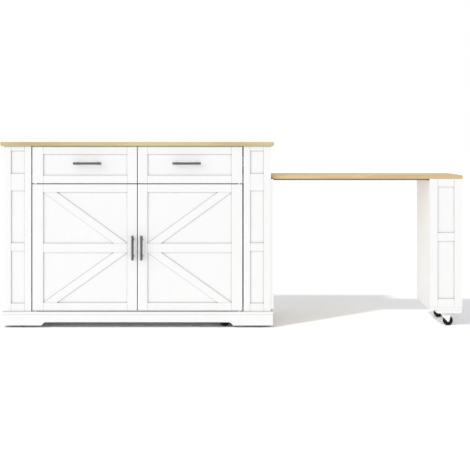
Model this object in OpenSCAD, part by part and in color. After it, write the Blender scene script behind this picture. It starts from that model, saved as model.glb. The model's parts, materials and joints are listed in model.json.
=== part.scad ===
// Kitchen island on casters. A dining table slides out of a slot in its right side and stands on
// a pedestal with casters of its own. It is drawn with the table out and everything else shut.
// X runs along the island, Y from its face to its back, and Z up from the floor, in millimetres.

/* [Cabinet] */
// Height of the worktop's upper face above the floor
island_h = 920; // [890:1:960]
// Width of the cabinet body across its side panels
body_w = 1326; // [1260:2:1400]
// Depth of the cabinet body from its face to its back
body_d = 500; // [480:2:560]
// Thickness of the side panels, partitions, dividers and bottom deck
board_t = 18; // [15:1:20]
// Thickness of the back panel
back_t = 12; // [8:1:16]
// Height of the shelves, at their upper faces
shelf_h = 420; // [330:5:510]
// Thickness of the shelves
shelf_t = 16; // [12:1:22]
// Distance that the shelves stand back from the doors' inner faces
shelf_set = 24; // [16:1:60]
// Distance of the shelf pins from a shelf's front and back edges
shelf_pin_in = 45; // [30:5:80]

/* [Worktop] */
// Thickness of the worktop
top_t = 21; // [18:1:26]
// Overhang of the worktop past the body on every side
overhang = 15; // [10:1:20]
// Distance that its lower edge rounds in
edge_run = 14; // [6:1:14]
// Height of that rounding
edge_rise = 10; // [6:1:14]
// Radius of its upper edge
ease_r = 2.5; // [1:0.5:4]

/* [Fronts] */
// Thickness of the doors, drawer fronts and pilasters
front_t = 18; // [16:1:20]
// Gap between a front and the pilaster beside it
side_gap = 6; // [3:0.5:7]
// Gap between the two doors, and between the two drawer fronts
seam_gap = 4; // [2:0.5:5]
// Width of a front's stile beside the pilaster
stile_outer = 54; // [44:1:64]
// Width of a front's stile beside the seam
stile_inner = 48.5; // [42:0.5:60]
// Width of a door's top and bottom rails, and of a drawer front's bottom rail
rail_w = 39; // [32:1:48]
// Width of a drawer front's top rail
drawer_rail_w = 37; // [30:1:48]
// Width of a door's mid rail
mid_rail_w = 45; // [36:1:60]
// Distance from the middle of a door's opening down to its mid rail
mid_rail_drop = 2.5; // [0:0.5:20]
// Width of a diagonal brace, measured along the rail that it meets
brace_run = 66; // [50:1:80]
// Width of the fine V line where a rail meets a stile, along its sides
joint_line = 1.5; // [0.5:0.1:2]
// Depth of the braces' faces behind the frame's face
brace_set = 1.5; // [0.5:0.5:3]
// Depth of the panels' faces behind the frame's face
panel_set = 7; // [5:0.5:8]
// Thickness of the recessed panels
panel_t = 6; // [4:0.5:7]
// Width of a panel's edge that sits in the frame's groove
panel_tongue = 6; // [4:0.5:8]

/* [Pilasters] */
// Width of each pilaster
pilaster_w = 136; // [125:1:160]
// Width of a pilaster's outer stile
pilaster_outer = 36; // [28:1:44]
// Width of a pilaster's inner stile
pilaster_inner = 33; // [28:1:44]
// Height of a pilaster's top rail
pilaster_top_rail = 22; // [16:1:40]
// Height of the rail beside the seam of the doors and drawers
pilaster_waist_rail = 84; // [60:1:100]
// Distance of that rail's middle above the seam
pilaster_waist_up = 8; // [0:1:20]
// Height of the rail half-way down
pilaster_mid_rail = 39; // [30:1:60]
// Height of a pilaster's bottom rail
pilaster_foot_rail = 40; // [30:1:60]

/* [Base] */
// Height of the base's ledge above the floor
base_h = 79.5; // [78:0.5:90]
// Distance that the base stands out past the body
base_out = 12; // [10:1:16]
// Height of the moulded cap on the base
cap_h = 13; // [10:0.5:14]
// Distance that the cap stands out past the boards below it
cap_proud = 2; // [1:0.5:4]
// Radius of the cap's upper edge
cap_r = 4; // [3:0.5:7]
// Thickness of the base's boards
base_board_t = 16; // [12:1:18]
// Gap between the base's feet and the floor
floor_gap = 11.5; // [7:0.5:14]
// Height of the arch in the front board
arch_h = 16; // [8:1:24]
// Width of each foot beside the arch
foot_w = 198; // [140:2:260]
// Length of the curve at each end of the arch
arch_run = 21; // [16:1:60]

/* [Drawers] */
// Length of the drawer slides
slide_l = 400; // [350:10:400]
// Height of a slide's outer member
slide_h = 45; // [38:1:48]
// Room that one slide takes beside the drawer box
slide_room = 12.7; // [12.7:0.1:14]
// Thickness of a drawer box's sides and ends
box_t = 12; // [10:1:15]
// Thickness of a drawer box's bottom
box_bottom_t = 6; // [4:1:8]
// Room above a drawer box, below the worktop
box_head = 20; // [14:1:40]
// Room below a drawer box, above the table's slot
box_clear = 5; // [4:1:10]
// Depth of a drawer box behind its front
box_d = 412; // [404:2:430]

/* [Handles] */
// Diameter of the bar handles
bar_d = 12; // [8:1:14]
// Length of a drawer's handle
drawer_bar_l = 140; // [110:2:180]
// Length of a door's handle
door_bar_l = 122; // [110:2:180]
// Distance of a bar's face from the front that it is on
bar_reach = 32; // [26:1:40]
// Distance of a handle's posts from the bar's ends
post_in = 20; // [14:1:30]
// Diameter of the posts
post_d = 8; // [6:1:10]
// Distance from the seam to a door handle's middle
door_bar_x = 22; // [18:1:30]
// Distance of a door handle's middle above the middle of the mid rail
door_bar_up = 2; // [0:1:120]
// Distance of a drawer handle from its panel's middle, towards the seam
drawer_bar_in = 13; // [0:1:30]
// Distance of a drawer handle above the middle of its front
drawer_bar_up = 8; // [0:1:20]

/* [Door pivots] */
// Diameter of the pivot pins
pivot_d = 6; // [5:0.5:8]
// Length of a pivot pin inside the door
pivot_l = 12; // [8:1:16]
// Distance of the pivots from the door's outer edge
pivot_in = 15; // [13:0.5:15]
// Thickness of the pivot leaves
leaf_t = 2.5; // [1.5:0.5:3]
// Clearance between a pivot leaf and the door
leaf_gap = 1.5; // [0.8:0.1:2]

/* [Table] */
// Distance of the table's upper face below the worktop's
table_drop = 165.5; // [160:0.5:180]
// Thickness of the table top
table_t = 18; // [16:1:22]
// Distance from the cabinet's middle to the table's outer end
table_reach = 1622; // [1560:2:1700]
// Length of the table that stays inside the cabinet's side
table_tail = 263; // [220:1:300]
// Distance of the table's front edge behind the cabinet's face
table_set = 36; // [36:1:40]
// Distance of the table's back edge before the cabinet's back
table_back = 25; // [18:1:40]
// Height of the runner bars under the table
runner_h = 8; // [7:1:12]
// Width of the runner bars
runner_w = 20; // [14:1:26]
// Distance of the runner bars from the table's edges
runner_in = 20; // [14:1:30]
// Clearance round the table in the slot that it slides through
slot_gap = 2; // [1.5:0.5:2]
// Clearance above the table in that slot
slot_head = 5; // [3:1:8]
// Travel of the table
table_travel = 776; // [600:2:776]
// Thickness of the deck that the table slides over
deck_t = 16; // [12:1:18]
// Thickness of the front rail in front of the table
front_rail_t = 14; // [10:1:14]
// Width of the stop block that the table's tail comes up against
stop_w = 120; // [60:5:200]
// Thickness of the end panel below the table
end_panel_t = 13; // [10:1:16]
// Distance of the end panel's edges from the cabinet's face and back
end_panel_set = 1; // [0.5:0.5:20]
// Distance of its foot above the base
end_panel_foot = 12; // [4:1:30]

/* [Pedestal] */
// Width of the pedestal
pedestal_w = 163; // [150:1:190]
// Distance of its faces behind the table's edges
pedestal_set = 1; // [0.5:0.5:4]
// Distance of its outer side behind the table's end
pedestal_end = 2; // [1:0.5:6]
// Width of its stiles
pedestal_stile = 40; // [32:1:48]
// Width of its top rail
pedestal_top_rail = 39.5; // [30:0.5:60]
// Width of its mid rail
pedestal_mid_rail = 42; // [34:1:60]
// Distance of its mid rail above the middle of its opening
pedestal_mid_up = 29; // [0:1:60]
// Width of its bottom rail
pedestal_foot_rail = 41.5; // [30:0.5:60]
// Thickness of its side boards
pedestal_side_t = 16; // [12:1:18]
// Thickness of its base board
pedestal_base_t = 14; // [12:1:18]
// Distance of the base board's edges behind the pedestal's faces
base_board_set = 1.2; // [0.5:0.1:3]
// Height of the skirting below it
skirt_h = 17; // [14:1:24]
// Thickness of the skirting
skirt_t = 12; // [10:1:14]
// Distance of the skirting from the pedestal's inner side
skirt_in = 38; // [4:1:60]

/* [Casters] */
// Height of a caster from the floor to the top of its plate
caster_h = 65; // [62:0.5:66]
// Diameter of the wheels
wheel_d = 50; // [46:1:50]
// Width of the wheels across the tread
wheel_w = 17; // [14:1:19]
// Distance of a wheel's axle from its swivel axis
trail = 15; // [14:0.5:17]
// Diameter of the axles
axle_d = 8; // [6:0.5:9]
// Diameter of the kingpins
kingpin_d = 10; // [8:0.5:12]
// Width of the square plates
plate_w = 56; // [50:1:60]
// Thickness of the plates, crowns and fork legs
plate_t = 2.5; // [2:0.25:3]
// Distance from the cabinet's middle to its left casters
caster_left = 567; // [560:1:580]
// Distance from the cabinet's middle to its right casters
caster_right = 448; // [420:1:560]
// Distance of the cabinet's casters from its face and its back
caster_in = 50; // [49:1:80]
// Distance of the pedestal's front caster from the table's front edge
pedestal_caster_front = 40; // [40:1:70]
// Distance of the pedestal's back caster from the table's back edge
pedestal_caster_back = 123; // [60:1:130]

/* [Fits] */
// Glue line between two pieces of one sub-part
seat = 0.1; // [0.05:0.05:0.2]
// Radial clearance of a pin that turns in a bore
pin_fit = 0.05; // [0.02:0.01:0.09]
// Clearance between sliding members
slide_fit = 0.4; // [0.3:0.1:0.6]

/* [Hidden] */
$fn = 48;
cut = 1; // how far a cutting shape runs past the face that it cuts

// Plan of the body. Its middle is x = 0 and its face is y = 0 until frame_at moves it.
body_x = body_w / 2;
open_x = body_x - pilaster_w;
side_x = body_x - board_t;
inner_y = body_d - back_t;
carcass_y = front_t;
swing_r = norm([pivot_in, front_t / 2]);
swing_room = 1.5;
deck_y = front_t / 2 + swing_r + swing_room;
front_play = 2;
rear_y = front_t + front_play; // foremost plane of the pieces behind the fronts
divider_x = board_t / 2;

// Levels, from the floor up
top_z = island_h - top_t;
floor_z = base_h + board_t;
table_h = island_h - table_drop;
table_z = table_h - table_t;
runner_z = table_z - runner_h;
channel_t = 1.6;
channel_lip = 6;
deck_z = runner_z - slide_fit - channel_t;
rail_lap = 12;
rail_z = deck_z - rail_lap;
rail_show = 1;
slot_z = table_h + slot_head;
door_top = rail_z - leaf_t - leaf_gap;
door_foot = base_h + leaf_t + leaf_gap;
drawer_foot = rail_z + rail_show;
drawer_top = top_z - front_play;
seam_z = (door_top + drawer_foot) / 2;
box_z = slot_z + box_clear;
box_h = top_z - box_head - box_z;
slide_z = box_z + box_h / 2;

// The fronts' openings, for the left one of each pair
front_x = [side_gap - open_x, -seam_gap / 2];
inner_front_x = [front_x[0] + stile_outer, front_x[1] - stile_inner];
drawer_openings = [[inner_front_x, [drawer_foot + rail_w, drawer_top - drawer_rail_w]]];
door_mid = (door_foot + door_top) / 2 - mid_rail_drop;
door_openings = [
    [inner_front_x, [door_foot + rail_w, door_mid - mid_rail_w / 2]],
    [inner_front_x, [door_mid + mid_rail_w / 2, door_top - rail_w]]
];
pivot_x = front_x[0] + pivot_in;
pivot_y = front_t / 2;
box_x = [slide_room - open_x, -divider_x - slide_room];
slide_set = 6;
slide_y = [front_t + slide_set, front_t + slide_set + slide_l];

// The left pilaster's openings
pilaster_x = [-body_x + pilaster_outer, -open_x - pilaster_inner];
waist_mid = seam_z + pilaster_waist_up;
waist_z = [waist_mid - pilaster_waist_rail / 2, waist_mid + pilaster_waist_rail / 2];
pilaster_foot_z = base_h + pilaster_foot_rail;
pilaster_mid_z = (pilaster_foot_z + waist_z[0]) / 2;
pilaster_openings = [
    [pilaster_x, [pilaster_foot_z, pilaster_mid_z - pilaster_mid_rail / 2]],
    [pilaster_x, [pilaster_mid_z + pilaster_mid_rail / 2, waist_z[0]]],
    [pilaster_x, [waist_z[1], top_z - pilaster_top_rail]]
];

// The table and its pedestal
table_y = [table_set, body_d - table_back];
tail_x = body_x - table_tail;
slot_y = [table_y[0] - slot_gap, table_y[1] + slot_gap];
deck_end = [deck_z - deck_t, deck_z];
runner_ys = [table_y[0] + runner_in, table_y[1] - runner_in - runner_w];
pedestal_x = [table_reach - pedestal_end - pedestal_w, table_reach - pedestal_end];
pedestal_y = [table_y[0] + pedestal_set, table_y[1] - pedestal_set];
pedestal_z = caster_h + skirt_h + pedestal_base_t;
pedestal_inner_x = [pedestal_x[0] + pedestal_stile, pedestal_x[1] - pedestal_stile];
pedestal_open_z = [pedestal_z + pedestal_foot_rail, table_z - pedestal_top_rail];
pedestal_mid = (pedestal_open_z[0] + pedestal_open_z[1]) / 2 + pedestal_mid_up;
pedestal_openings = [
    [pedestal_inner_x, [pedestal_open_z[0], pedestal_mid - pedestal_mid_rail / 2]],
    [pedestal_inner_x, [pedestal_mid + pedestal_mid_rail / 2, pedestal_open_z[1]]]
];
cleat_w = 20;
cleat_play = 4;

// Casters, as [x, y, turn]: a wheel trails towards -X, or towards +X with a turn of 180
caster_back = body_d - caster_in;
pedestal_mid_x = (pedestal_x[0] + pedestal_x[1]) / 2;
caster_fl = [-caster_left, caster_in, 0];
caster_fr = [caster_right, caster_in, 0];
caster_bl = [-caster_left, caster_back, 0];
caster_br = [caster_right, caster_back, 0];
caster_tf = [pedestal_mid_x, table_y[0] + pedestal_caster_front, 180];
caster_tb = [pedestal_mid_x, table_y[1] - pedestal_caster_back, 180];
wheel_r = wheel_d / 2;
tread_room = 1.5;
crown_z = wheel_d + tread_room;
race_gap = 0.7;
race_z = [crown_z + plate_t, caster_h - plate_t - race_gap];
leg_in = wheel_w / 2 + 1.7;
hub_half = leg_in - slide_fit;
leg_tip_r = axle_d / 2 + 2.5;

// Middle of the whole island, with the table out
left_end = -body_x - max(overhang, base_out);
back_end = body_d + max(overhang, base_out);
frame_x = -(left_end + table_reach) / 2;
frame_y = -(back_end - bar_reach) / 2;

// ---- helpers ----

// Moves the island so that the middle of its floor outline is the origin.
module frame_at() {
    translate([frame_x, frame_y, 0]) children();
}

// A block between two limits along each axis.
module block(x, y, z) {
    translate([x[0], y[0], z[0]]) cube([x[1] - x[0], y[1] - y[0], z[1] - z[0]]);
}

// The children and their mirror image across the cabinet's middle.
module both_sides() {
    children();
    mirror([1, 0, 0]) children();
}

// Stands an outline drawn in X and Z up, t deep from y = 0 towards the back.
module upright(t) {
    translate([0, t, 0]) rotate([90, 0, 0]) linear_extrude(t) children();
}

function width(span) = span[1] - span[0];

// A panel for one opening [x span, z span], with its edges grown into the frame by grow.
module panel_in(o, y, t, grow) {
    block([o[0][0] - grow, o[0][1] + grow], [y, y + t], [o[1][0] - grow, o[1][1] + grow]);
}

// A frame of stiles and rails round its openings. It has a groove for the panels and a fine
// V line on the face where each rail meets a stile.
module face_frame(x, z, openings) {
    joints = openings[0][0];
    difference() {
        upright(front_t) difference() {
            translate([x[0], z[0]]) square([width(x), width(z)]);
            for (o = openings)
                translate([o[0][0], o[1][0]]) square([width(o[0]), width(o[1])]);
        }
        for (o = openings) panel_in(o, panel_set, panel_t, panel_tongue);
        for (j = joints)
            translate([j, 0, (z[0] + z[1]) / 2]) rotate([0, 0, 45])
                cube([joint_line, joint_line, width(z) + 2 * cut], center = true);
    }
}

module frame_panels(openings) {
    for (o = openings)
        panel_in(o, panel_set + seat, panel_t - 2 * seat, panel_tongue - 2 * seat);
}

// A diagonal brace across one opening, rising towards +X, or falling if up is false. Its ends
// run into the rails above and below.
module brace(o, up) {
    w = width(o[0]);
    h = width(o[1]);
    lap = 2;
    slant = lap * (w - brace_run) / h;
    translate([(o[0][0] + o[0][1]) / 2, brace_set, o[1][0]]) mirror([up ? 0 : 1, 0, 0])
        upright(panel_set - brace_set) polygon([
            [-w / 2 - slant, -lap], [brace_run - w / 2 - slant, -lap],
            [w / 2 + slant, h + lap], [w / 2 - brace_run + slant, h + lap]
        ]);
}

// A bar handle along Z with its middle above the origin. Its posts stand on a face at y = base,
// and its bar reaches the same distance in front of y = 0 on every front.
module bar_handle(l, base) {
    bar_y = bar_d / 2 - bar_reach;
    rim = 1;
    translate([0, bar_y, -l / 2]) rotate_extrude() polygon([
        [0, 0], [bar_d / 2 - rim, 0], [bar_d / 2, rim],
        [bar_d / 2, l - rim], [bar_d / 2 - rim, l], [0, l]
    ]);
    for (s = [-1, 1]) translate([0, base, s * (l / 2 - post_in)]) rotate([90, 0, 0]) {
        cylinder(d = post_d, h = base - bar_y);
        cylinder(d = post_d + 4, h = 2);
    }
}

// ---- cabinet ----

// Edge of the worktop: eased above and rounded in below. z runs from 0 to the thickness.
function edge_profile(half) = [
    for (a = [0:15:90]) [half - edge_run + edge_run * sin(a), edge_rise - edge_rise * cos(a)],
    for (a = [0:30:90]) [half - ease_r + ease_r * cos(a), top_t - ease_r + ease_r * sin(a)]
];

function mirrored(points) = [for (i = [len(points) - 1:-1:0]) [-points[i][0], points[i][1]]];

module worktop() {
    half_w = body_x + overhang;
    half_d = body_d / 2 + overhang;
    long_edge = edge_profile(half_w);
    deep_edge = edge_profile(half_d);
    color("burlywood") frame_at() translate([0, body_d / 2, top_z]) intersection() {
        translate([0, -half_d - cut, 0])
            upright(2 * (half_d + cut)) polygon(concat(long_edge, mirrored(long_edge)));
        rotate([0, 0, 90]) translate([0, -half_w - cut, 0])
            upright(2 * (half_w + cut)) polygon(concat(deep_edge, mirrored(deep_edge)));
    }
}

module side_board() {
    block([side_x, body_x], [carcass_y, body_d], [base_h, top_z]);
}

module left_side_panel() {
    color("white") frame_at() mirror([1, 0, 0]) side_board();
}

// The right side has the slot that the table comes out of.
module right_side_panel() {
    color("white") frame_at() difference() {
        side_board();
        block([side_x - cut, body_x + cut], slot_y, [deck_z, slot_z]);
    }
}

// Holes for the shelf pins, in two columns, drilled into a face towards +X.
pin_r = 2.5;
pin_in = 10;
pin_pitch = 32;
pin_rows = 2;
shelf_y = [deck_y + shelf_set, inner_y - 4];
pin_ys = [shelf_y[0] + shelf_pin_in, shelf_y[1] - shelf_pin_in];
pin_z = shelf_h - shelf_t - pin_r;
module pin_holes() {
    for (y = pin_ys, row = [-pin_rows:pin_rows])
        translate([-cut, y, pin_z + row * pin_pitch]) rotate([0, 90, 0])
            cylinder(r = pin_r + pin_fit, h = pin_in + cut);
}

// The right partition has a slot for the deck and the table.
module partitions() {
    color("white") frame_at() {
        difference() {
            block([open_x, open_x + board_t], [carcass_y, inner_y], [floor_z, top_z]);
            block([open_x - cut, open_x + board_t + cut], slot_y, [deck_end[0], slot_z]);
            translate([open_x, 0, 0]) pin_holes();
        }
        difference() {
            block([-open_x - board_t, -open_x], [carcass_y, inner_y], [floor_z, top_z]);
            translate([-open_x, 0, 0]) mirror([1, 0, 0]) pin_holes();
        }
    }
}

module bottom_deck() {
    color("white") frame_at() block([-side_x, side_x], [deck_y, inner_y], [base_h, floor_z]);
}

// The table slides over this deck. A stop block on it meets the table's tail cleat.
module mid_deck() {
    stop_x = tail_x + cleat_w + slide_fit;
    stop_l = 24;
    color("white") frame_at() {
        block([-open_x, side_x], [slot_y[0] + seat, slot_y[1] - seat], deck_end);
        translate([stop_x, (table_y[0] + table_y[1]) / 2, deck_z])
            block([0, stop_l], [-stop_w / 2, stop_w / 2], [0, runner_h - 1]);
    }
}

module drawer_divider() {
    color("white") frame_at() block([-divider_x, divider_x], [rear_y, inner_y], [slot_z, top_z]);
}

module compartment_divider() {
    color("white") frame_at() difference() {
        block([-divider_x, divider_x], [deck_y, inner_y], [floor_z, deck_end[0]]);
        translate([-divider_x, 0, 0]) pin_holes();
        translate([divider_x, 0, 0]) mirror([1, 0, 0]) pin_holes();
    }
}

module shelves() {
    color("white") frame_at() both_sides()
        block([-open_x + 1, -divider_x - 1], shelf_y, [shelf_h - shelf_t, shelf_h]);
}

// Each pin has a collar against the board, and the shelf lies on its flat tongue.
module shelf_pins() {
    color("silver") frame_at() both_sides() for (y = pin_ys) {
        translate([-open_x, y, pin_z]) shelf_pin();
        translate([-divider_x, y, pin_z]) mirror([1, 0, 0]) shelf_pin();
    }
}

// A pin in a face towards +X, standing out of it by its tongue.
module shelf_pin() {
    rotate([0, 90, 0]) {
        translate([0, 0, 1 - pin_in]) cylinder(r = pin_r, h = pin_in + 9);
        cylinder(r = pin_r * 1.5, h = 0.8);
    }
}

module back_panel() {
    color("white") frame_at()
        block([-side_x, side_x], [inner_y, body_d], [base_h, top_z]);
}

module pilaster_frames() {
    color("white") frame_at() both_sides()
        face_frame([-body_x, -open_x], [base_h, top_z], pilaster_openings);
}

module pilaster_panels() {
    color("white") frame_at() both_sides() frame_panels(pilaster_openings);
}

// The rail behind the drawer fronts' lower edge stands between the partitions.
module front_rail() {
    color("white") frame_at()
        block([-open_x, open_x], [rear_y, rear_y + front_rail_t - seat], [rail_z, slot_z]);
}

// ---- base ----

base_x = body_x + base_out;
board_out = base_out - cap_proud;
board_x = body_x + board_out;
board_top = base_h - cap_h;
cap_w = base_out + rear_y;

// Half of the arch's outline: it springs from the foot and eases into the arch's straight top.
function arch_side(s) = [
    for (i = [0:12]) let (t = i / 12)
        [s * (board_x - foot_w - arch_run * t), floor_gap + arch_h * sin(90 * t)]
];

module plinth_boards() {
    left = arch_side(-1);
    right = arch_side(1);
    side_y = [base_board_t - board_out + seat, body_d + board_out - base_board_t - seat];
    color("white") frame_at() {
        translate([0, -board_out, 0]) upright(base_board_t) polygon(concat(
            [[-board_x, board_top], [-board_x, floor_gap]],
            left,
            [for (i = [len(right) - 1:-1:0]) right[i]],
            [[board_x, floor_gap], [board_x, board_top]]
        ));
        both_sides()
            block([board_x - base_board_t, board_x], side_y, [floor_gap, board_top]);
        block([-board_x, board_x], [body_d + board_out - base_board_t, body_d + board_out],
              [floor_gap, board_top]);
    }
}

// One mitred length of the cap along X. Its outer edge is y = 0 and its upper edge is rounded.
module cap_length(half) {
    intersection() {
        translate([-half, 0, board_top]) rotate([90, 0, 90]) linear_extrude(2 * half)
            polygon(concat(
                [[cap_w, 0], [cap_w, cap_h]],
                [for (a = [90:-15:0]) [cap_r - cap_r * cos(a), cap_h - cap_r + cap_r * sin(a)]],
                [[0, 0]]
            ));
        linear_extrude(base_h) polygon([
            [seat - half, 0], [half - seat, 0],
            [half - seat - cap_w, cap_w], [seat + cap_w - half, cap_w]
        ]);
    }
}

module plinth_cap() {
    half_d = body_d / 2 + base_out;
    color("white") frame_at() {
        translate([0, -base_out, 0]) cap_length(base_x);
        translate([0, body_d + base_out, 0]) rotate([0, 0, 180]) cap_length(base_x);
        translate([base_x, body_d / 2, 0]) rotate([0, 0, 90]) cap_length(half_d);
        translate([-base_x, body_d / 2, 0]) rotate([0, 0, -90]) cap_length(half_d);
    }
}

// Two boards under the bottom deck carry the casters.
module caster_bearers() {
    half = caster_in - rear_y - seat;
    bearer_x = base_x - cap_w - seat;
    color("white") frame_at() for (y = [caster_in, caster_back])
        block([-bearer_x, bearer_x], [y - half, y + half], [caster_h, base_h]);
}

// ---- hardware ----

// A square plate with its four screw holes, and the kingpin that hangs from it.
module caster_plate() {
    hole_at = plate_w / 2 - 7;
    head_z = crown_z - slide_fit;
    corner_r = 4;
    translate([0, 0, caster_h - plate_t]) linear_extrude(plate_t) difference() {
        union() {
            square([plate_w - 2 * corner_r, plate_w], center = true);
            square([plate_w, plate_w - 2 * corner_r], center = true);
            for (x = [-1, 1], y = [-1, 1])
                translate([x, y] * (plate_w / 2 - corner_r)) circle(r = corner_r);
        }
        for (x = [-1, 1], y = [-1, 1]) translate([x, y] * hole_at) circle(r = 3);
    }
    translate([0, 0, head_z - 2]) {
        cylinder(d = kingpin_d, h = caster_h - plate_t - head_z + 2.5);
        cylinder(d = kingpin_d + 3, h = 2);
    }
}

module caster_plates() {
    color("silver") frame_at() for (c = [caster_fl, caster_fr, caster_bl, caster_br])
        translate([c[0], c[1], 0]) caster_plate();
}

// Telescopic slide members, drawn as [depth, height] outlines from the face that carries them.
slide_wall = 1.2;
slide_play = 0.6;
outer_depth = 10;

module channel_outline(depth, h) {
    difference() {
        translate([0, -h / 2]) square([depth, h]);
        translate([slide_wall, slide_wall - h / 2]) square([depth, h - 2 * slide_wall]);
    }
}

module outer_outline() {
    lip = 1.7;
    channel_outline(outer_depth, slide_h);
    for (s = [-1, 1])
        translate([outer_depth - slide_wall, s * (slide_h / 2 - slide_wall - lip / 2) - lip / 2])
            square([slide_wall, lip]);
}

module middle_outline() {
    translate([slide_wall + slide_play, 0])
        channel_outline(outer_depth - 2 * (slide_wall + slide_play),
                        slide_h - 2 * (slide_wall + slide_play / 2) - 0.4);
}

module inner_outline() {
    inner_h = slide_h - 4 * slide_wall - 3 * slide_play - 1;
    translate([slide_room, 0]) mirror([1, 0])
        channel_outline(slide_room - 2 * (slide_wall + slide_play) - 0.4, inner_h);
}

// The pair of members beside the left drawer, as long as the slide.
module slide_pair() {
    translate([0, slide_y[0], slide_z]) {
        translate([-open_x, 0, 0]) upright(slide_l) children();
        translate([-divider_x, 0, 0]) mirror([1, 0, 0]) upright(slide_l) children();
    }
}

module drawer_slide_outers() {
    color("silver") frame_at() both_sides() slide_pair() outer_outline();
}

// Steel channels that keep the runner bars in line, from the table's shut place to the side.
module table_channels() {
    play = 0.6;
    start_x = tail_x - table_travel - cleat_play;
    color("silver") frame_at() for (y = runner_ys)
        translate([start_x, y - play - channel_t, deck_z]) rotate([90, 0, 90])
            linear_extrude(body_x - start_x) difference() {
                square([runner_w + 2 * (play + channel_t), channel_t + channel_lip]);
                translate([channel_t, channel_t]) square([runner_w + 2 * play, channel_lip + cut]);
            }
}

// A pivot leaf seen from above: a round nose about the pin and a tail of the given length.
module pivot_leaf(tail, pin_up) {
    nose_r = pivot_d / 2 + 5;
    linear_extrude(leaf_t) {
        circle(r = nose_r);
        translate([-nose_r, 0]) square([2 * nose_r, tail]);
    }
    mirror([0, 0, pin_up ? 0 : 1]) translate([0, 0, pin_up ? leaf_t : 0]) {
        cylinder(d = pivot_d, h = leaf_gap + pivot_l);
        cylinder(d = pivot_d + 4, h = leaf_gap * 0.8);
    }
}

module pivot_brackets() {
    top_tail = rear_y + front_rail_t - 1 - pivot_y;
    foot_tail = front_t + 1 - pivot_y;
    color("silver") frame_at() both_sides() {
        translate([pivot_x, pivot_y, rail_z - leaf_t]) pivot_leaf(top_tail, false);
        translate([pivot_x, pivot_y, base_h]) pivot_leaf(foot_tail, true);
    }
}

// Case of the magnetic catch on the compartment divider's edge, behind the doors' seam.
module magnetic_catch() {
    catch_w = 44;
    catch_h = 16;
    color("dimgray") frame_at()
        block([-catch_w / 2, catch_w / 2], [front_t + 0.8, deck_y],
              [shelf_h - catch_h, shelf_h]);
}

// The table slides over the end panel, and its runner bars pass through two notches.
module end_panel() {
    color("whitesmoke") frame_at() difference() {
        block([body_x, body_x + end_panel_t], [end_panel_set, body_d - end_panel_set],
              [base_h + end_panel_foot, table_z - slide_fit]);
        for (y = runner_ys)
            block([body_x - cut, body_x + end_panel_t + cut],
                  [y - slot_gap, y + runner_w + slot_gap], [runner_z - slot_gap, table_z]);
    }
}

// ---- drawers ----

module drawer_front() {
    face_frame(front_x, [drawer_foot, drawer_top], drawer_openings);
    frame_panels(drawer_openings);
}

module drawer_box() {
    groove = 5;
    bottom_z = box_z + 10;
    inner = [box_x[0] + box_t, box_x[1] - box_t];
    back_y = front_t + box_d;
    tongue_x = [inner[0] - groove, inner[1] + groove];
    module bottom(grow) {
        block([tongue_x[0] - grow, tongue_x[1] + grow],
              [front_t + box_t - groove - grow, back_y - box_t + groove + grow],
              [bottom_z - grow, bottom_z + box_bottom_t + grow]);
    }
    difference() {
        union() {
            block([box_x[0], inner[0]], [front_t, back_y], [box_z, box_z + box_h]);
            block([inner[1], box_x[1]], [front_t, back_y], [box_z, box_z + box_h]);
            block([inner[0] + seat, inner[1] - seat], [front_t, front_t + box_t],
                  [box_z, box_z + box_h]);
            block([inner[0] + seat, inner[1] - seat], [back_y - box_t, back_y],
                  [box_z, box_z + box_h]);
        }
        bottom(seat);
    }
    bottom(0);
}

// The drawers' handles stand on the recessed panels.
module drawer_handle() {
    x = (inner_front_x[0] + inner_front_x[1]) / 2 + drawer_bar_in;
    z = (drawer_foot + drawer_top) / 2 + drawer_bar_up;
    translate([x, 0, z]) rotate([0, 90, 0]) bar_handle(drawer_bar_l, panel_set + seat);
}

module drawer_left_front() { color("white") frame_at() drawer_front(); }
module drawer_left_box() { color("wheat") frame_at() drawer_box(); }
module drawer_left_handle() { color("dimgray") frame_at() drawer_handle(); }
module drawer_left_inner_slides() { color("silver") frame_at() slide_pair() inner_outline(); }
module drawer_left_middle_slides() { color("silver") frame_at() slide_pair() middle_outline(); }

module drawer_right_front() { color("white") frame_at() mirror([1, 0, 0]) drawer_front(); }
module drawer_right_box() { color("wheat") frame_at() mirror([1, 0, 0]) drawer_box(); }
module drawer_right_handle() { color("dimgray") frame_at() mirror([1, 0, 0]) drawer_handle(); }
module drawer_right_inner_slides() {
    color("silver") frame_at() mirror([1, 0, 0]) slide_pair() inner_outline();
}
module drawer_right_middle_slides() {
    color("silver") frame_at() mirror([1, 0, 0]) slide_pair() middle_outline();
}

// ---- doors ----

// The left door's frame, with its braces and a bore for each pivot pin.
module door_frame() {
    bore_l = pivot_l + 1;
    difference() {
        union() {
            face_frame(front_x, [door_foot, door_top], door_openings);
            brace(door_openings[0], true);
            brace(door_openings[1], false);
        }
        for (z = [door_foot - cut, door_top - bore_l])
            translate([pivot_x, pivot_y, z]) cylinder(d = pivot_d + 2 * pin_fit, h = bore_l + cut);
    }
}

module door_handle() {
    translate([-door_bar_x, 0, door_mid + door_bar_up]) bar_handle(door_bar_l, 0);
}

module door_left_frame() { color("white") frame_at() door_frame(); }
module door_left_panels() { color("white") frame_at() frame_panels(door_openings); }
module door_left_handle() { color("dimgray") frame_at() door_handle(); }
module door_right_frame() { color("white") frame_at() mirror([1, 0, 0]) door_frame(); }
module door_right_panels() {
    color("white") frame_at() mirror([1, 0, 0]) frame_panels(door_openings);
}
module door_right_handle() { color("dimgray") frame_at() mirror([1, 0, 0]) door_handle(); }

// ---- table and pedestal ----

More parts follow.
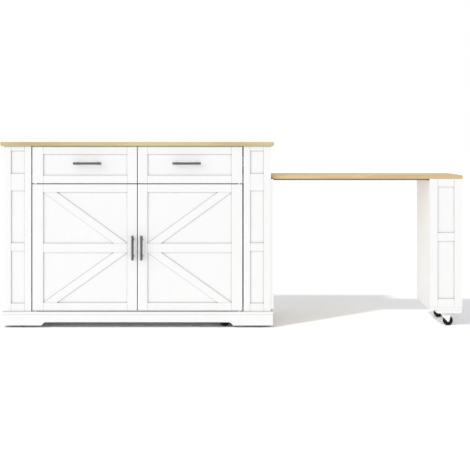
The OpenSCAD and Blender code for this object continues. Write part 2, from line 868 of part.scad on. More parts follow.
module table_top() {
    r = 2;
    d = width(table_y);
    color("burlywood") frame_at() translate([tail_x, table_y[0], table_z])
        rotate([90, 0, 90]) linear_extrude(table_reach - tail_x) polygon(concat(
            [for (a = [180:30:270]) [r + r * cos(a), r + r * sin(a)]],
            [for (a = [270:30:360]) [d - r + r * cos(a), r + r * sin(a)]],
            [for (a = [0:30:90]) [d - r + r * cos(a), table_t - r + r * sin(a)]],
            [for (a = [90:30:180]) [r + r * cos(a), table_t - r + r * sin(a)]]
        ));
}

// Two bars slide in the channels. A cleat across the tail meets the deck's stop block.
module table_runners() {
    color("tan") frame_at() {
        for (y = runner_ys)
            block([tail_x, pedestal_x[0]], [y, y + runner_w], [runner_z, table_z]);
        block([tail_x, tail_x + cleat_w],
              [runner_ys[0] + runner_w + cleat_play, runner_ys[1] - cleat_play],
              [runner_z, table_z]);
    }
}

module pedestal_sides() {
    y = [pedestal_y[0] + front_t + seat, pedestal_y[1] - front_t - seat];
    color("white") frame_at() {
        block([pedestal_x[0], pedestal_x[0] + pedestal_side_t], y, [pedestal_z, table_z]);
        block([pedestal_x[1] - pedestal_side_t, pedestal_x[1]], y, [pedestal_z, table_z]);
    }
}

// The children at the pedestal's face, and turned round at its back.
module pedestal_faces() {
    translate([0, pedestal_y[0], 0]) children();
    translate([0, pedestal_y[1], 0]) mirror([0, 1, 0]) children();
}

module pedestal_frames() {
    color("white") frame_at() pedestal_faces()
        face_frame(pedestal_x, [pedestal_z, table_z], pedestal_openings);
}

module pedestal_panels() {
    color("white") frame_at() pedestal_faces() frame_panels(pedestal_openings);
}

// A base board on a caster block, with four lengths of skirting round the block.
module pedestal_base() {
    z = [caster_h, caster_h + skirt_h];
    lip = 2 * base_board_set;
    x = [pedestal_x[0] + skirt_in, pedestal_x[1] - lip];
    y = [pedestal_y[0] + lip, pedestal_y[1] - lip];
    inner_x = [x[0] + skirt_t, x[1] - skirt_t];
    inner_y = [y[0] + skirt_t + seat, y[1] - skirt_t - seat];
    color("white") frame_at() {
        block([pedestal_x[0] + base_board_set, pedestal_x[1] - base_board_set],
              [pedestal_y[0] + base_board_set, pedestal_y[1] - base_board_set],
              [z[1] + seat, pedestal_z]);
        block([inner_x[0] + seat, inner_x[1] - seat], inner_y, z);
        block([x[0], inner_x[0]], inner_y, z);
        block([inner_x[1], x[1]], inner_y, z);
        block(x, [y[0], y[0] + skirt_t], z);
        block(x, [y[1] - skirt_t, y[1]], z);
    }
}

module pedestal_caster_plates() {
    color("silver") frame_at() for (c = [caster_tf, caster_tb])
        translate([c[0], c[1], 0]) caster_plate();
}

// ---- casters ----

module at_caster(c) {
    translate([c[0], c[1], 0]) rotate([0, 0, c[2]]) children();
}

// One leg's outline in X and Z: wide at the crown and rounded about the axle.
crown_ends = [-trail - 13, 15];
module leg_outline() {
    top = race_z[0];
    polygon(concat(
        [[crown_ends[0], top], [crown_ends[0] + 2, top - 9]],
        [for (a = [190:20:350]) [-trail + leg_tip_r * cos(a), wheel_r + leg_tip_r * sin(a)]],
        [[crown_ends[1] - 3, top - 9], [crown_ends[1], top]]
    ));
}

// A pressed fork: crown, ball race, two legs and the riveted axle.
module fork() {
    crown_r = 18;
    difference() {
        union() {
            translate([0, 0, crown_z]) linear_extrude(plate_t) {
                circle(r = crown_r);
                translate([crown_ends[0], -leg_in - plate_t])
                    square([width(crown_ends), 2 * (leg_in + plate_t)]);
            }
            rotate_extrude() polygon([
                [0, race_z[0]], [15, race_z[0]], [crown_r, race_z[0] + 1.5],
                [crown_r, race_z[0] + 3.5], [15, race_z[1]], [0, race_z[1]]
            ]);
        }
        translate([0, 0, crown_z - cut])
            cylinder(r = kingpin_d / 2 + pin_fit, h = caster_h - crown_z);
    }
    for (y = [-leg_in - plate_t, leg_in]) translate([0, y, 0]) upright(plate_t)
        leg_outline();
    axle();
}

// The axle runs across the fork, with a rivet head outside each leg.
module axle() {
    half = leg_in + plate_t;
    r = axle_d / 2;
    head = 2;
    translate([-trail, half + head, wheel_r]) rotate([90, 0, 0]) {
        cylinder(r = r, h = 2 * (half + head));
        cylinder(r1 = r, r2 = r + head, h = head);
        translate([0, 0, 2 * half + head]) cylinder(r1 = r + head, r2 = r, h = head);
    }
}

// A wheel about its axle: hub, thinner web and rounded tread.
module wheel() {
    bore = axle_d / 2 + pin_fit;
    hub_r = axle_d / 2 + 4;
    web = 3.5;
    rim_r = wheel_r * 0.72;
    half = wheel_w / 2;
    round_r = 3;
    side = concat(
        [[hub_r, hub_half], [hub_r + 1, web], [rim_r - 2, web], [rim_r, half]],
        [for (a = [90:-30:0]) [wheel_r - round_r + round_r * cos(a),
                               half - round_r + round_r * sin(a)]]
    );
    translate([-trail, 0, wheel_r]) rotate([90, 0, 0]) rotate_extrude($fn = 72)
        polygon(concat([[bore, -hub_half], [bore, hub_half]], side,
            [for (i = [len(side) - 1:-1:0]) [side[i][0], -side[i][1]]]));
}

module fork_front_left() { color("silver") frame_at() at_caster(caster_fl) fork(); }
module fork_front_right() { color("silver") frame_at() at_caster(caster_fr) fork(); }
module fork_back_left() { color("silver") frame_at() at_caster(caster_bl) fork(); }
module fork_back_right() { color("silver") frame_at() at_caster(caster_br) fork(); }
module fork_table_front() { color("silver") frame_at() at_caster(caster_tf) fork(); }
module fork_table_back() { color("silver") frame_at() at_caster(caster_tb) fork(); }
module wheel_front_left() { color("black") frame_at() at_caster(caster_fl) wheel(); }
module wheel_front_right() { color("black") frame_at() at_caster(caster_fr) wheel(); }
module wheel_back_left() { color("black") frame_at() at_caster(caster_bl) wheel(); }
module wheel_back_right() { color("black") frame_at() at_caster(caster_br) wheel(); }
module wheel_table_front() { color("black") frame_at() at_caster(caster_tf) wheel(); }
module wheel_table_back() { color("black") frame_at() at_caster(caster_tb) wheel(); }

worktop();
left_side_panel();
right_side_panel();
partitions();
bottom_deck();
mid_deck();
drawer_divider();
compartment_divider();
shelves();
shelf_pins();
back_panel();
pilaster_frames();
pilaster_panels();
front_rail();
plinth_boards();
plinth_cap();
caster_bearers();
caster_plates();
drawer_slide_outers();
table_channels();
pivot_brackets();
magnetic_catch();
end_panel();
drawer_left_front();
drawer_left_box();
drawer_left_handle();
drawer_left_inner_slides();
drawer_left_middle_slides();
drawer_right_front();
drawer_right_box();
drawer_right_handle();
drawer_right_inner_slides();
drawer_right_middle_slides();
door_left_frame();
door_left_panels();
door_left_handle();
door_right_frame();
door_right_panels();
door_right_handle();
table_top();
table_runners();
pedestal_sides();
pedestal_frames();
pedestal_panels();
pedestal_base();
pedestal_caster_plates();
fork_front_left();
fork_front_right();
fork_back_left();
fork_back_right();
fork_table_front();
fork_table_back();
wheel_front_left();
wheel_front_right();
wheel_back_left();
wheel_back_right();
wheel_table_front();
wheel_table_back();
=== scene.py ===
import json
import math

import bmesh
import bpy
from mathutils import Matrix, Vector

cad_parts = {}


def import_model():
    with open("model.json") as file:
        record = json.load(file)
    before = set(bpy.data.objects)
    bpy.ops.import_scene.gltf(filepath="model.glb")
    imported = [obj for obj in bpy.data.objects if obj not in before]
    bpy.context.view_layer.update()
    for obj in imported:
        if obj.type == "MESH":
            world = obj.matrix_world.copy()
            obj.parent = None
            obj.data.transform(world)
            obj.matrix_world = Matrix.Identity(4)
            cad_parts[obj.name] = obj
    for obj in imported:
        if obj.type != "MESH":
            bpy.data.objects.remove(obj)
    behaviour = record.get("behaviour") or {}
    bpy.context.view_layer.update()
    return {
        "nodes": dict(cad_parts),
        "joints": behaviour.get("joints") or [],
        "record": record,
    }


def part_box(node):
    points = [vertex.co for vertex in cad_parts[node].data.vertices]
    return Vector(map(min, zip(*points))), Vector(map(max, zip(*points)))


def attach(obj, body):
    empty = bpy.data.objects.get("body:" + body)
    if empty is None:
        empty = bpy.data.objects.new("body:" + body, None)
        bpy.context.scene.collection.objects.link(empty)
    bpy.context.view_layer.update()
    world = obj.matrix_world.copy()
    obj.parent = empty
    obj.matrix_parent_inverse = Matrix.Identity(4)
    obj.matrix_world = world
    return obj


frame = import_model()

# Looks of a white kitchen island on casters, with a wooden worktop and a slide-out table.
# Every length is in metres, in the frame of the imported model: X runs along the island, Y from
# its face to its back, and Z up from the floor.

SLOT_OF = {s["node"]: s["material_slot"] for s in frame["record"]["subparts"]}
JOINT_AT = {j["name"]: j["pos_m"] for j in frame["joints"] if "pos_m" in j}


# ---------------------------------------------------------------- node materials

# The Mix node has sockets of the same name for each kind of data. These are its colour ones.
MIX_A = 6
MIX_B = 7
MIX_RESULT = 2


class Shader:
    """One node material. add() makes a node, and each input given is set or linked."""

    def __init__(self, name):
        self.material = bpy.data.materials.new(name)
        self.material.use_nodes = True
        self.tree = self.material.node_tree
        self.tree.nodes.clear()
        self.output = self.tree.nodes.new("ShaderNodeOutputMaterial")

    def add(self, kind, inputs=None, **settings):
        node = self.tree.nodes.new("ShaderNode" + kind)
        for key, value in settings.items():
            setattr(node, key, value)
        for key, value in (inputs or {}).items():
            self.put(node.inputs[key], value)
        return node

    def put(self, socket, value):
        if isinstance(value, bpy.types.NodeSocket):
            self.tree.links.new(value, socket)
        else:
            socket.default_value = value

    def stretch(self, vector, scale):
        return self.add("Mapping", {"Vector": vector, "Scale": scale}).outputs["Vector"]

    def place(self, scale=(1, 1, 1)):
        """The surface's own position, stretched by a scale for each axis."""
        return self.stretch(self.add("TexCoord").outputs["Object"], scale)

    def noise(self, scale, vector=None, detail=3.0, rough=0.5):
        inputs = {"Vector": vector or self.place(), "Scale": scale,
                  "Detail": detail, "Roughness": rough}
        return self.add("TexNoise", inputs).outputs["Fac"]

    def ramp(self, value, low, high, to_low=0.0, to_high=1.0):
        """A value from low to high, carried over to to_low to to_high and held there."""
        inputs = {"Value": value, "From Min": low, "From Max": high,
                  "To Min": to_low, "To Max": to_high}
        return self.add("MapRange", inputs, clamp=True).outputs["Result"]

    def math(self, operation, a, b):
        return self.add("Math", {0: a, 1: b}, operation=operation).outputs[0]

    def mix(self, fac, a, b):
        node = self.add("Mix", {"Factor": fac}, data_type="RGBA")
        self.put(node.inputs[MIX_A], a)
        self.put(node.inputs[MIX_B], b)
        return node.outputs[MIX_RESULT]

    def soft_edge(self, radius):
        """A normal that rounds every edge a little, so that it catches the light."""
        return self.add("Bevel", {"Radius": radius}, samples=6).outputs["Normal"]

    def corner_shade(self, distance, deep, open_at):
        """An ambient occlusion mask for painted shade: 0 in corners and gaps, rising to 1 on open
        surfaces.
        """
        ao = self.add("AmbientOcclusion", {"Distance": distance}, samples=12).outputs["AO"]
        return self.ramp(ao, deep, open_at)

    def bump(self, height, distance, strength, normal):
        inputs = {"Height": height, "Distance": distance, "Strength": strength, "Normal": normal}
        return self.add("Bump", inputs).outputs["Normal"]

    def finish(self, **inputs):
        """Puts the surface shader on. An underscore in a keyword stands for a space."""
        names = {key.replace("_", " "): value for key, value in inputs.items()}
        shader = self.add("BsdfPrincipled", names)
        self.tree.links.new(shader.outputs[0], self.output.inputs["Surface"])
        return self.material


def rgb(r, g, b):
    return (r, g, b, 1.0)


def painted_wood():
    """Satin white paint sprayed on smooth board, with painted shade as fine grey lines in the
    corners, recesses and gaps where boards meet.
    """
    s = Shader("painted_wood")
    cloud = s.noise(2.2, detail=2)
    grain = s.noise(38, s.place((1, 1, 0.12)), detail=4)
    paint = s.mix(cloud, rgb(0.905, 0.905, 0.898), rgb(0.928, 0.927, 0.922))
    paint = s.mix(s.ramp(grain, 0.35, 0.75, 0.0, 0.25), paint, rgb(0.885, 0.884, 0.876))
    # Painted shade: the ambient occlusion mask darkens every corner, gap and recess of the paint
    # towards this grey.
    line_and_shade = rgb(0.20, 0.197, 0.19)
    colour = s.mix(s.corner_shade(0.006, 0.22, 0.92), line_and_shade, paint)
    peel = s.noise(900, detail=2, rough=0.4)
    normal = s.bump(peel, 0.00008, 0.5, s.soft_edge(0.0009))
    rough = s.ramp(s.noise(60), 0.3, 0.7, 0.36, 0.46)
    return s.finish(Base_Color=colour, Roughness=rough, Normal=normal)


def lumber(name, light, dark, line_and_shade, stave, rough):
    """Edge-glued solid wood under satin lacquer. The staves run along X, each with its own
    tone, growth figure and pores. stave is a stave's length and width, the third colour that of
    pores and joints and also of the painted shade in corners, and rough the least roughness."""
    s = Shader(name)
    where = s.place()
    rows = s.add("TexBrick", {
        "Vector": where, "Color1": rgb(0, 0, 0), "Color2": rgb(1, 1, 1), "Mortar": rgb(0, 0, 0),
        "Scale": 1.0, "Mortar Size": 0.0004, "Mortar Smooth": 0.4, "Bias": 0.0,
        "Brick Width": stave[0], "Row Height": stave[1]}, offset=0.37)
    tone = s.add("SeparateColor", {"Color": rows.outputs["Color"]}).outputs[0]
    # Each stave looks up its grain at a place of its own, shifted by its tone.
    shift = s.add("CombineXYZ", {"X": s.math("MULTIPLY", tone, 7.3),
                                 "Y": s.math("MULTIPLY", tone, 3.1),
                                 "Z": s.math("MULTIPLY", tone, 1.9)}).outputs[0]
    own = s.add("VectorMath", {0: where, 1: shift}, operation="ADD").outputs[0]

    cloud = s.noise(2.0, s.stretch(own, (1.6, 9, 9)), detail=2)
    rings = s.add("TexWave", {
        "Vector": s.stretch(own, (0.45, 5.5, 5.5)), "Scale": 7.0, "Distortion": 6.0,
        "Detail": 2.5, "Detail Scale": 0.7, "Detail Roughness": 0.55},
        wave_type="BANDS", bands_direction="Y").outputs["Fac"]
    fibre = s.noise(6.0, s.stretch(own, (5, 150, 150)), detail=5, rough=0.62)
    pores = s.ramp(s.noise(9.0, s.stretch(own, (14, 420, 420)), detail=2), 0.62, 0.72)

    colour = s.mix(s.ramp(tone, 0.0, 1.0, 0.0, 0.70), light, dark)
    colour = s.mix(s.ramp(rings, 0.15, 0.95, 0.0, 0.60), colour, dark)
    colour = s.mix(s.ramp(fibre, 0.3, 0.72, 0.0, 0.45), colour, dark)
    colour = s.mix(s.ramp(cloud, 0.42, 0.62, 0.0, 0.85), colour, light)
    colour = s.mix(s.math("MULTIPLY", pores, 0.40), colour, line_and_shade)
    colour = s.mix(s.ramp(rows.outputs["Fac"], 0.2, 1.0, 0.0, 0.6), colour, line_and_shade)
    # Painted shade: the ambient occlusion mask darkens the wood in corners and under overhangs
    # towards the pore colour.
    colour = s.mix(s.corner_shade(0.020, 0.30, 0.95), line_and_shade, colour)

    relief = s.math("SUBTRACT", fibre, pores)
    normal = s.bump(relief, 0.00012, 0.55, s.soft_edge(0.0012))
    gloss = s.ramp(fibre, 0.3, 0.7, rough, rough + 0.12)
    return s.finish(Base_Color=colour, Roughness=gloss, Normal=normal,
                    Specular_IOR_Level=0.5, Coat_Weight=0.10, Coat_Roughness=0.3)


def worktop_wood():
    return lumber("worktop_wood", rgb(0.665, 0.56, 0.28), rgb(0.53, 0.415, 0.185),
                  rgb(0.26, 0.19, 0.09), (0.62, 0.046), 0.42)


def table_wood():
    return lumber("table_wood", rgb(0.765, 0.565, 0.295), rgb(0.60, 0.40, 0.175),
                  rgb(0.34, 0.22, 0.11), (0.70, 0.052), 0.42)


def runner_wood():
    return lumber("runner_wood", rgb(0.50, 0.40, 0.22), rgb(0.38, 0.29, 0.15),
                  rgb(0.18, 0.12, 0.06), (2.5, 0.5), 0.5)


def drawer_wood():
    return lumber("drawer_wood", rgb(0.76, 0.66, 0.50), rgb(0.66, 0.54, 0.38),
                  rgb(0.42, 0.32, 0.20), (3.0, 0.24), 0.48)


def zinc():
    """Bright zinc plate on pressed steel, lightly clouded, with fine press marks and painted shade
    in its corners.
    """
    s = Shader("zinc")
    cloud = s.noise(55, detail=5, rough=0.65)
    marks = s.noise(30, s.place((2, 2, 28)), detail=4)
    colour = s.mix(cloud, rgb(0.80, 0.805, 0.81), rgb(0.92, 0.922, 0.925))
    # Painted shade: the ambient occlusion mask darkens the zinc towards grey in its corners and
    # hollows.
    colour = s.mix(s.corner_shade(0.003, 0.2, 0.9), rgb(0.42, 0.42, 0.43), colour)
    rough = s.ramp(cloud, 0.3, 0.7, 0.26, 0.42)
    normal = s.bump(marks, 0.00006, 0.5, s.soft_edge(0.0005))
    return s.finish(Base_Color=colour, Metallic=1.0, Roughness=rough, Normal=normal)


def handle_metal():
    """Dark satin coating, brushed along and round the bar, and rubbed paler by hands."""
    s = Shader("handle_metal")
    along_z = s.noise(70, s.place((40, 40, 1.5)), detail=4)
    along_x = s.noise(70, s.place((1.5, 40, 40)), detail=4)
    rub = s.noise(24)
    brush = s.math("MULTIPLY", along_z, along_x)
    colour = s.mix(s.ramp(brush, 0.1, 0.4), rgb(0.105, 0.105, 0.107), rgb(0.150, 0.150, 0.152))
    colour = s.mix(s.ramp(rub, 0.45, 0.8, 0.0, 0.35), colour, rgb(0.19, 0.19, 0.192))
    rough = s.ramp(along_z, 0.25, 0.75, 0.46, 0.60)
    normal = s.bump(brush, 0.00005, 0.5, s.soft_edge(0.0004))
    return s.finish(Base_Color=colour, Metallic=0.25, Roughness=rough, Normal=normal,
                    Specular_IOR_Level=0.35)


def wheel_rubber():
    """Black moulded rubber with a dusty tread."""
    s = Shader("wheel_rubber")
    dust = s.noise(140, detail=5, rough=0.7)
    colour = s.mix(s.ramp(dust, 0.5, 0.85, 0.0, 0.5), rgb(0.008, 0.008, 0.009),
                   rgb(0.034, 0.033, 0.032))
    rough = s.ramp(dust, 0.3, 0.8, 0.42, 0.62)
    normal = s.bump(dust, 0.00008, 0.4, s.soft_edge(0.0006))
    return s.finish(Base_Color=colour, Roughness=rough, Normal=normal, Specular_IOR_Level=0.25)


def catch_plastic():
    """Grey moulded plastic with a fine grain."""
    s = Shader("catch_plastic")
    grain = s.noise(1400, detail=2)
    tint = s.noise(60, detail=2)
    colour = s.mix(tint, rgb(0.040, 0.040, 0.042), rgb(0.062, 0.062, 0.065))
    rough = s.ramp(grain, 0.3, 0.7, 0.42, 0.55)
    normal = s.bump(grain, 0.00005, 0.6, s.soft_edge(0.0005))
    return s.finish(Base_Color=colour, Roughness=rough, Normal=normal)


MATERIALS = {f.__name__: f() for f in (
    painted_wood, worktop_wood, table_wood, runner_wood, drawer_wood, zinc, handle_metal,
    wheel_rubber, catch_plastic)}


def dress_nodes():
    """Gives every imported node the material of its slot."""
    for name, node in frame["nodes"].items():
        node.data.materials.clear()
        node.data.materials.append(MATERIALS[SLOT_OF[name]])


# ---------------------------------------------------------------- small pieces

def linked(name, mesh, material):
    """A scene object made of a finished bmesh and one material."""
    data = bpy.data.meshes.new(name)
    mesh.to_mesh(data)
    mesh.free()
    data.materials.append(material)
    obj = bpy.data.objects.new(name, data)
    bpy.context.scene.collection.objects.link(obj)
    return obj


def piece(name, mesh, body, slot):
    """A small piece in the frame's own coordinates, riding on a body."""
    obj = linked(name, mesh, MATERIALS[slot])
    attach(obj, body)


def facing(point, direction):
    """A matrix that stands the +Z axis on a point, along a direction."""
    turn = Vector((0, 0, 1)).rotation_difference(Vector(direction)).to_matrix().to_4x4()
    return Matrix.Translation(Vector(point)) @ turn


def turned(mesh, profile, place, steps, sink=None):
    """Adds a solid of revolution. profile is (radius, height) points from the axis to the axis,
    and place puts the solid's +Z axis in the scene. sink(x, y) lowers points of the upper face."""
    rings = []
    for radius, height in profile:
        count = steps if radius else 1
        ring = []
        for i in range(count):
            x = radius * math.cos(2 * math.pi * i / steps)
            y = radius * math.sin(2 * math.pi * i / steps)
            drop = sink(x, y) if sink and height > 0 else 0
            ring.append(mesh.verts.new(place @ Vector((x, y, height - drop))))
        rings.append(ring)
    for low, high in zip(rings, rings[1:]):
        for i in range(steps):
            j = (i + 1) % steps
            corners = [low[i % len(low)], low[j % len(low)],
                       high[j % len(high)], high[i % len(high)]]
            mesh.faces.new(sorted(set(corners), key=corners.index))


# The radius and height of each kind of screw head.
CASTER_SCREW = (0.0048, 0.0026)
PIVOT_SCREW = (0.0030, 0.0007)
HANDLE_SCREW = (0.0045, 0.0022)
SLIDE_SCREW = (0.0032, 0.0010)
BACK_SCREW = (0.0042, 0.0014)
RUNNER_SCREW = (0.0040, 0.0002)

# The cross recess of a head, as shares of its radius and height.
RECESS_ARM = 0.17
RECESS_REACH = 0.62
RECESS_DEPTH = 0.55
HEAD_RINGS = (1.0, 0.95, 0.84, 0.70, 0.58, 0.44, 0.30, 0.16)
HEAD_FALL = 0.75
HEAD_STEPS = 32


def screw_head(mesh, point, direction, radius, height):
    """A pan-head screw: flat seat, domed head and a cross recess."""
    arm = RECESS_ARM * radius
    reach = RECESS_REACH * radius

    def recess(x, y):
        inside = min(abs(x), abs(y)) < arm and max(abs(x), abs(y)) < reach
        return RECESS_DEPTH * height if inside else 0

    profile = [(0, 0), (radius, 0)]
    for share in HEAD_RINGS:
        profile.append((radius * share, height * (1 - HEAD_FALL * share ** 4)))
    profile.append((0, height))
    turned(mesh, profile, facing(point, direction), HEAD_STEPS, recess)


def screws(name, body, places, size):
    """One piece with a screw head at each (point, direction). size is a head's radius and
    height."""
    mesh = bmesh.new()
    for point, direction in places:
        screw_head(mesh, point, direction, *size)
    piece(name, mesh, body, "zinc")


def steps_between(low, high, count):
    """Evenly spaced places from low to high, both included."""
    return [low + (high - low) * i / (count - 1) for i in range(count)]


def caster_screws():
    """Four screws hold each caster plate up."""
    hole_at = 0.021
    plate_t = 0.0025
    down = (0, 0, -1)
    for body, plates, casters in (
            ("cabinet", "caster_plates", ("front_left", "front_right", "back_left", "back_right")),
            ("table", "pedestal_caster_plates", ("table_front", "table_back"))):
        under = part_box(plates)[1][2] - plate_t
        places = []
        for caster in casters:
            x, y = JOINT_AT["swivel_" + caster][:2]
            for a in (-1, 1):
                for b in (-1, 1):
                    places.append(((x + a * hole_at, y + b * hole_at, under), down))
        screws(body + "_caster_screws", body, places, CASTER_SCREW)


def pivot_screws():
    """Two screws in each pivot leaf's tail: from below under the rail, from above at the foot."""
    low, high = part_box("pivot_brackets")
    rail_low, rail_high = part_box("front_rail")
    rail_y = (rail_low[1] + rail_high[1]) / 2
    leaf_t = 0.0025
    apart = 0.0045
    tail = 0.007
    down = (0, 0, -1)
    up = (0, 0, 1)
    places = []
    for side in ("left", "right"):
        x, y = JOINT_AT[f"door_{side}_hinge"][:2]
        for d in (-apart, apart):
            places.append(((x + d, rail_y, high[2] - leaf_t), down))
            places.append(((x + d, y + tail, low[2] + leaf_t), up))
    screws("pivot_screws", "cabinet", places, PIVOT_SCREW)


def handle_screws():
    """Two screws hold each handle, from a door's back or from inside a drawer."""
    post_in = 0.020
    wall = 0.012
    backward = (0, 1, 0)
    for side in ("left", "right"):
        low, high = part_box(f"door_{side}_handle")
        x = (low[0] + high[0]) / 2
        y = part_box(f"door_{side}_frame")[1][1]
        places = [((x, y, z), backward) for z in (low[2] + post_in, high[2] - post_in)]
        screws(f"door_{side}_handle_screws", f"door_{side}", places, HANDLE_SCREW)

        low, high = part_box(f"drawer_{side}_handle")
        z = (low[2] + high[2]) / 2
        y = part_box(f"drawer_{side}_box")[0][1] + wall
        places = [((x, y, z), backward) for x in (low[0] + post_in, high[0] - post_in)]
        screws(f"drawer_{side}_handle_screws", f"drawer_{side}", places, HANDLE_SCREW)


def slide_screws():
    """Screws through the inner slide members into each drawer box's sides."""
    wall = 0.0012
    along = (0.035, 0.16, 0.30)
    for side in ("left", "right"):
        low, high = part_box(f"drawer_{side}_inner_slides")
        z = (low[2] + high[2]) / 2
        places = []
        for d in along:
            places.append(((high[0] - wall, low[1] + d, z), (1, 0, 0)))
            places.append(((low[0] + wall, low[1] + d, z), (-1, 0, 0)))
        screws(f"drawer_{side}_slide_screws", f"drawer_{side}", places, SLIDE_SCREW)


def back_screws():
    """Screws through the back panel into the partitions, the divider and the bottom deck."""
    low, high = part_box("back_panel")
    deck_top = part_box("bottom_deck")[1][2]
    half_board = 0.009
    edge = 0.06
    in_column = 5
    in_deck_row = 9
    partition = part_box("partitions")[1][0] - half_board
    middle = (low[0] + high[0]) / 2
    backward = (0, 1, 0)
    places = []
    for x in (2 * middle - partition, middle, partition):
        for z in steps_between(deck_top + edge, high[2] - edge, in_column):
            places.append(((x, high[1], z), backward))
    for x in steps_between(low[0] + edge, high[0] - edge, in_deck_row):
        places.append(((x, high[1], deck_top - half_board), backward))
    screws("back_screws", "cabinet", places, BACK_SCREW)


def runner_screws():
    """Flush screws that hold the runner bars under the table."""
    low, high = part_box("table_runners")
    half_bar = 0.010
    edge = 0.05
    in_bar = 6
    down = (0, 0, -1)
    places = []
    for x in steps_between(low[0] + edge, high[0] - edge, in_bar):
        for y in (low[1] + half_bar, high[1] - half_bar):
            places.append(((x, y, low[2]), down))
    screws("runner_screws", "table", places, RUNNER_SCREW)


def rounded_plate(mesh, centre, width, height, depth, corner=0.0025, steps=5):
    """A thin plate with round corners, standing in XZ on a face that looks along +Y."""
    outline = []
    corner_signs = ((1, 1), (-1, 1), (-1, -1), (1, -1))
    for quarter, (sx, sz) in enumerate(corner_signs):
        for i in range(steps):
            a = math.pi / 2 * (quarter + i / (steps - 1))
            outline.append((sx * (width / 2 - corner) + corner * math.cos(a),
                            sz * (height / 2 - corner) + corner * math.sin(a)))
    x0, y0, z0 = centre
    front = [mesh.verts.new((x0 + x, y0 + depth, z0 + z)) for x, z in outline]
    back = [mesh.verts.new((x0 + x, y0, z0 + z)) for x, z in outline]
    mesh.faces.new(front)
    mesh.faces.new(list(reversed(back)))
    for i in range(len(outline)):
        j = (i + 1) % len(outline)
        mesh.faces.new((front[j], front[i], back[i], back[j]))
    bmesh.ops.recalc_face_normals(mesh, faces=mesh.faces[:])


def catch_parts():
    """The magnetic catch's two magnets, and the steel strike plate on each door's back."""
    low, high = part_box("magnetic_catch")
    z = (low[2] + high[2]) / 2
    in_x = 0.010
    left_x = low[0] + in_x
    right_x = high[0] - in_x
    disc = [(0, 0), (0.0045, 0), (0.0045, 0.0001), (0.0042, 0.0002), (0, 0.0002)]
    disc_steps = 24
    forward = (0, -1, 0)
    mesh = bmesh.new()
    for x in (left_x, right_x):
        turned(mesh, disc, facing((x, low[1], z), forward), disc_steps)
    piece("catch_magnets", mesh, "cabinet", "zinc")

    width = 0.016
    height = 0.012
    depth = 0.0005
    for side, x in (("left", left_x), ("right", right_x)):
        door_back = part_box(f"door_{side}_frame")[1][1]
        mesh = bmesh.new()
        rounded_plate(mesh, (x, door_back, z), width, height, depth)
        piece(f"door_{side}_strike_plate", mesh, f"door_{side}", "zinc")


# ---------------------------------------------------------------- stage

WHITE = rgb(1, 1, 1)
FLOOR_HALF = 60
FLOOR_GLOW = 0.03
FILL = 0.70
LAMP_AWAY = 4
FRONT_LAMP = {"travel": (0.92, 1.0, -0.45), "energy": 0.97, "angle": 52}
FLOOR_LAMP = {"travel": (0.80, 0.80, -1.0), "energy": 1.6, "angle": 4}


def seen_directly(nodes, links):
    """1 for camera, mirror and transmission rays, for which the stage shows plain white."""
    path = nodes.new("ShaderNodeLightPath")
    seen = path.outputs["Is Camera Ray"]
    for ray in ("Is Glossy Ray", "Is Transmission Ray"):
        either = nodes.new("ShaderNodeMath")
        either.operation = "MAXIMUM"
        links.new(seen, either.inputs[0])
        links.new(path.outputs[ray], either.inputs[1])
        seen = either.outputs[0]
    return seen


def floor():
    """A floor that is white to the camera and pale grey to the light that it throws back, and
    keeps the island's shadow."""
    s = Shader("floor")
    cloud = s.noise(3.0)
    grey = s.mix(cloud, rgb(0.88, 0.88, 0.88), rgb(0.91, 0.91, 0.91))
    white = s.mix(cloud, rgb(0.98, 0.98, 0.98), WHITE)
    seen = seen_directly(s.tree.nodes, s.tree.links)
    diffuse = s.add("BsdfDiffuse", {"Color": s.mix(seen, grey, white)})
    glow = s.add("Emission", {"Color": WHITE,
                              "Strength": s.math("MULTIPLY", seen, FLOOR_GLOW)})
    both = s.add("AddShader", {0: diffuse.outputs[0], 1: glow.outputs[0]})
    s.tree.links.new(both.outputs[0], s.output.inputs["Surface"])

    mesh = bmesh.new()
    corners = ((-1, -1), (1, -1), (1, 1), (-1, 1))
    mesh.faces.new([mesh.verts.new((FLOOR_HALF * x, FLOOR_HALF * y, 0)) for x, y in corners])
    obj = linked("floor", mesh, s.material)
    return obj


def world():
    """Even studio light, in front of plain white."""
    studio = bpy.data.worlds.new("studio")
    studio.use_nodes = True
    nodes = studio.node_tree.nodes
    links = studio.node_tree.links
    nodes.clear()
    mix = nodes.new("ShaderNodeMixShader")
    links.new(seen_directly(nodes, links), mix.inputs[0])
    for socket, colour, strength in ((1, rgb(0.99, 0.995, 1.0), FILL), (2, WHITE, 1.0)):
        background = nodes.new("ShaderNodeBackground")
        background.inputs["Color"].default_value = colour
        background.inputs["Strength"].default_value = strength
        links.new(background.outputs[0], mix.inputs[socket])
    links.new(mix.outputs[0], nodes.new("ShaderNodeOutputWorld").inputs["Surface"])
    bpy.context.scene.world = studio


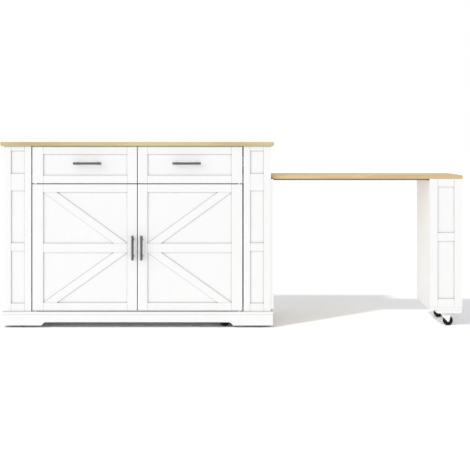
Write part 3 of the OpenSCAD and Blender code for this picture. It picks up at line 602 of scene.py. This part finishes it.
def distant_lamp(name, travel, energy, angle):
    """A sun lamp whose light goes along travel. angle is how wide it looks, in degrees."""
    data = bpy.data.lights.new(name, "SUN")
    data.energy = energy
    data.angle = math.radians(angle)
    obj = bpy.data.objects.new(name, data)
    obj.rotation_euler = Vector(travel).to_track_quat("-Z", "Y").to_euler()
    obj.location = -LAMP_AWAY * Vector(travel)
    bpy.context.scene.collection.objects.link(obj)
    return obj


def lamps(ground):
    """A broad lamp from the front left lights everything. A crisper one falls on the floor
    alone, past the island, for the photograph's shadow."""
    distant_lamp("front_lamp", **FRONT_LAMP)
    only_floor = bpy.data.collections.new("floor_only")
    only_floor.objects.link(ground)
    distant_lamp("floor_lamp", **FLOOR_LAMP).light_linking.receiver_collection = only_floor


# The photograph's camera looks straight along +Y. Its horizon and its vanishing point are off
# the frame's middle, which a lens shift gives.
FRAME_PX = 470
VANISHING_PX = (237.0, 140.2)
FOCAL_PX = 1189.0
SENSOR_MM = 36.0
CAMERA_FROM_CABINET = 0.4944
CAMERA_FROM_FACE = 5.9
CAMERA_HEIGHT = 0.9294


def camera():
    """The photograph's camera, placed from the seam of the doors."""
    middle = (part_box("door_left_frame")[1][0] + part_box("door_right_frame")[0][0]) / 2
    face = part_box("door_left_frame")[0][1]
    data = bpy.data.cameras.new("camera")
    data.sensor_width = SENSOR_MM
    data.lens = SENSOR_MM * FOCAL_PX / FRAME_PX
    data.shift_x = -(VANISHING_PX[0] - FRAME_PX / 2) / FRAME_PX
    data.shift_y = (VANISHING_PX[1] - FRAME_PX / 2) / FRAME_PX
    obj = bpy.data.objects.new("camera", data)
    obj.location = (middle + CAMERA_FROM_CABINET, face - CAMERA_FROM_FACE, CAMERA_HEIGHT)
    obj.rotation_euler = (math.radians(90), 0, 0)
    bpy.context.scene.collection.objects.link(obj)
    bpy.context.scene.camera = obj
    bpy.context.scene.view_settings.view_transform = "Standard"


dress_nodes()
caster_screws()
pivot_screws()
handle_screws()
slide_screws()
back_screws()
runner_screws()
catch_parts()
world()
lamps(floor())
camera()
